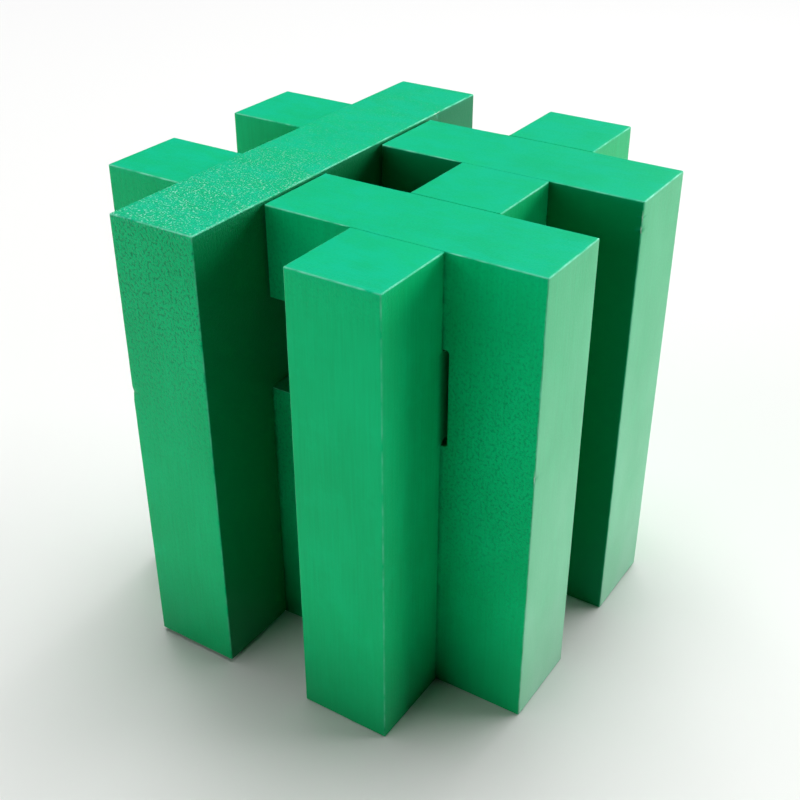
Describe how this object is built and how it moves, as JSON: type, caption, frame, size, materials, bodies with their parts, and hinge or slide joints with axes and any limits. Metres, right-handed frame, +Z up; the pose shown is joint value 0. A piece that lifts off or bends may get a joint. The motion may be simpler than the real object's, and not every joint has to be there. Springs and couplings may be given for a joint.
{
  "type": "burr puzzle",
  "caption": "Painted wooden burr puzzle: notched square boards cross at right angles, locked by a key board that lifts out.",
  "frame": {"origin": "middle of the base of the assembled puzzle, on the surface that it stands on", "axes": "+Z up, the way the key board lifts out; +X along the cross boards, from the key board towards the sliding board; +Y along the key and sliding boards, from front to back"},
  "size_m": [0.075, 0.075, 0.0755],
  "materials": {
    "key_board_paint": "satin green paint over open-grained wood",
    "slide_board_paint": "satin green paint over fine-grained wood",
    "cross_board_paint": "satin green paint over fine-grained wood"
  },
  "bodies": {
    "cross_boards": {"front_cross_board": "cross_board_paint", "rear_cross_board": "cross_board_paint"},
    "key": {"key_board": "key_board_paint"},
    "slider": {"slide_board": "slide_board_paint"}
  },
  "joints": [
    {"name": "key_board_lift", "type": "slide", "parent": "cross_boards", "child": "key", "axis": [0, 0, 1], "range_m": [0, 0.08]},
    {"name": "slide_board_travel", "type": "slide", "parent": "cross_boards", "child": "slider", "axis": [-1, 0, 0], "range_m": [-0.0008, 0.0147]}
  ]
}
